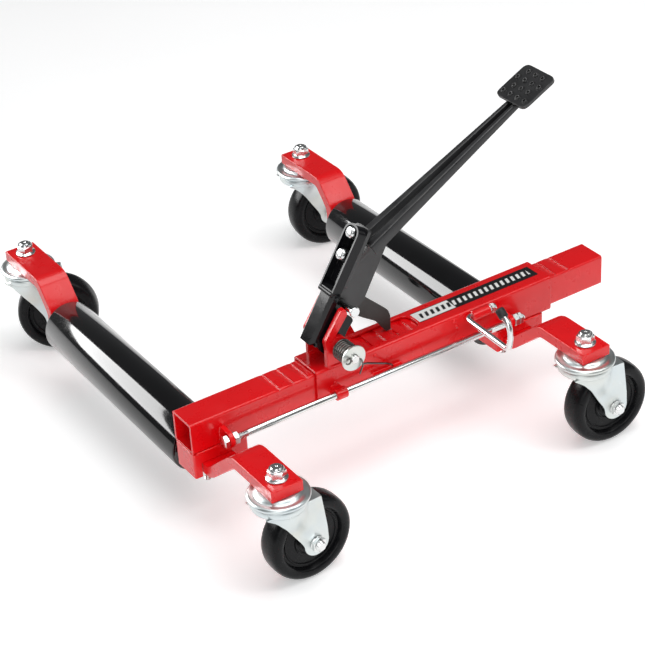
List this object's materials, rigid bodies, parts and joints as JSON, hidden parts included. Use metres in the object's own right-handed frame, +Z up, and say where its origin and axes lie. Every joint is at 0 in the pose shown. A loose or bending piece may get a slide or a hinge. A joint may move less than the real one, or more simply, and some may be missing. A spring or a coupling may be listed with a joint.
{
  "type": "wheel dolly",
  "caption": "Low dolly with telescoping square crossbar, bent bar arms carrying rollers, swivel casters, foot-operated ratchet lever, stop rod and release handle",
  "frame": {"origin": "bottom centre of the bounding box of the dolly standing on its casters with the crossbar fully open", "axes": "+Z up; +X along the crossbar from the sliding arm to the fixed arm; +Y from the crossbar side towards the free ends of the rollers"},
  "size_m": [0.5616, 0.64, 0.3954],
  "materials": {
    "red_paint": "glossy red powder coat with an even, slightly soft skin",
    "roller_black": "high-gloss black enamel on a smooth steel tube",
    "gloss_black": "gloss black paint",
    "satin_black": "satin dark grey-black paint, lightly worn on edges",
    "zinc_plate": "bright zinc plating with a faint blue tint",
    "wheel_polymer": "satin black moulded polymer",
    "spring_steel": "oiled dark spring steel",
    "black_rubber": "matt black rubber"
  },
  "bodies": {
    "sleeve_frame": {"outer_sleeve": "red_paint", "right_bracket": "red_paint", "rod_lug_right": "red_paint", "rod_guide": "red_paint", "front_bar_right": "red_paint", "rear_bar_right": "red_paint", "roller_axle_right": "zinc_plate", "axle_nut_right": "zinc_plate", "bracket_bolt_right_1": "zinc_plate", "bracket_bolt_right_2": "zinc_plate", "front_ear": "red_paint", "rear_ear": "red_paint", "pivot_pin": "zinc_plate", "pivot_washer": "zinc_plate", "torsion_spring": "spring_steel", "release_boss": "red_paint", "front_right_king_bolt": "zinc_plate", "front_right_race": "zinc_plate", "rear_right_king_bolt": "zinc_plate", "rear_right_race": "zinc_plate"},
    "sliding_frame": {"inner_tube": "red_paint", "left_bracket": "red_paint", "rod_lug_left": "red_paint", "stop_rod": "zinc_plate", "rod_nut_left": "zinc_plate", "rod_nut_right": "zinc_plate", "rod_lock_nut": "zinc_plate", "front_bar_left": "red_paint", "rear_bar_left": "red_paint", "roller_axle_left": "zinc_plate", "axle_nut_left": "zinc_plate", "bracket_bolt_left_1": "zinc_plate", "bracket_bolt_left_2": "zinc_plate", "front_left_king_bolt": "zinc_plate", "front_left_race": "zinc_plate", "rear_left_king_bolt": "zinc_plate", "rear_left_race": "zinc_plate"},
    "roller_left_spin": {"roller_left": "roller_black"},
    "roller_right_spin": {"roller_right": "roller_black"},
    "swivel_front_left": {"front_left_fork": "zinc_plate", "front_left_axle_bolt": "zinc_plate"},
    "wheel_front_left": {"front_left_wheel": "wheel_polymer"},
    "swivel_front_right": {"front_right_fork": "zinc_plate", "front_right_axle_bolt": "zinc_plate"},
    "wheel_front_right": {"front_right_wheel": "wheel_polymer"},
    "swivel_rear_left": {"rear_left_fork": "zinc_plate", "rear_left_axle_bolt": "zinc_plate"},
    "wheel_rear_left": {"rear_left_wheel": "wheel_polymer"},
    "swivel_rear_right": {"rear_right_fork": "zinc_plate", "rear_right_axle_bolt": "zinc_plate"},
    "wheel_rear_right": {"rear_right_wheel": "wheel_polymer"},
    "foot_lever": {"lever_channel": "gloss_black", "clamp_bolt_1": "zinc_plate", "clamp_bolt_2": "zinc_plate", "pedal_arm": "satin_black", "foot_pad": "satin_black", "pawl_pin": "zinc_plate"},
    "pawl": {"drive_pawl": "satin_black"},
    "handle": {"release_handle": "zinc_plate", "handle_cap": "black_rubber"}
  },
  "joints": [
    {"name": "crossbar_slide", "type": "slide", "parent": "sleeve_frame", "child": "sliding_frame", "axis": [1, 0, 0], "range_m": [0, 0.085]},
    {"name": "roller_left_turn", "type": "hinge", "parent": "sliding_frame", "child": "roller_left_spin", "pos_m": [-0.24725, 0.0335, 0.0805], "axis": [0, 1, 0], "continuous": true},
    {"name": "roller_right_turn", "type": "hinge", "parent": "sleeve_frame", "child": "roller_right_spin", "pos_m": [0.15275, 0.0335, 0.0805], "axis": [0, 1, 0], "continuous": true},
    {"name": "swivel_front_left_turn", "type": "hinge", "parent": "sliding_frame", "child": "swivel_front_left", "pos_m": [-0.24725, -0.2865, 0.108], "axis": [0, 0, 1], "continuous": true},
    {"name": "wheel_front_left_turn", "type": "hinge", "parent": "swivel_front_left", "child": "wheel_front_left", "pos_m": [-0.21827, -0.28549, 0.05], "axis": [-0.0349, 0.9994, 0], "continuous": true},
    {"name": "swivel_front_right_turn", "type": "hinge", "parent": "sleeve_frame", "child": "swivel_front_right", "pos_m": [0.15275, -0.2865, 0.108], "axis": [0, 0, 1], "continuous": true},
    {"name": "wheel_front_right_turn", "type": "hinge", "parent": "swivel_front_right", "child": "wheel_front_right", "pos_m": [0.18171, -0.28802, 0.05], "axis": [0.0523, 0.9986, 0], "continuous": true},
    {"name": "swivel_rear_left_turn", "type": "hinge", "parent": "sliding_frame", "child": "swivel_rear_left", "pos_m": [-0.24725, 0.2865, 0.108], "axis": [0, 0, 1], "continuous": true},
    {"name": "wheel_rear_left_turn", "type": "hinge", "parent": "swivel_rear_left", "child": "wheel_rear_left", "pos_m": [-0.22164, 0.27289, 0.05], "axis": [0.4695, 0.8829, 0], "continuous": true},
    {"name": "swivel_rear_right_turn", "type": "hinge", "parent": "sleeve_frame", "child": "swivel_rear_right", "pos_m": [0.15275, 0.2865, 0.108], "axis": [0, 0, 1], "continuous": true},
    {"name": "wheel_rear_right_turn", "type": "hinge", "parent": "swivel_rear_right", "child": "wheel_rear_right", "pos_m": [0.18153, 0.28297, 0.05], "axis": [0.1219, 0.9925, 0], "continuous": true},
    {"name": "pedal_press", "type": "hinge", "parent": "sleeve_frame", "child": "foot_lever", "pos_m": [-0.08925, -0.1445, 0.1665], "axis": [0, 1, 0], "range_deg": [0, 27], "stiffness_Nm_per_rad": 5, "springref_deg": -28.65},
    {"name": "pawl_swing", "type": "hinge", "parent": "foot_lever", "child": "pawl", "pos_m": [-0.07225, -0.1405, 0.208], "axis": [0, 1, 0], "range_deg": [-40, 0]},
    {"name": "handle_lift", "type": "hinge", "parent": "sleeve_frame", "child": "handle", "pos_m": [0.09475, -0.1735, 0.1415], "axis": [1, 0, 0], "range_deg": [-40, 0]}
  ],
  "couplings": [
    {"joint": "pawl_swing", "follows": "pedal_press", "ratio": -1.387}
  ]
}
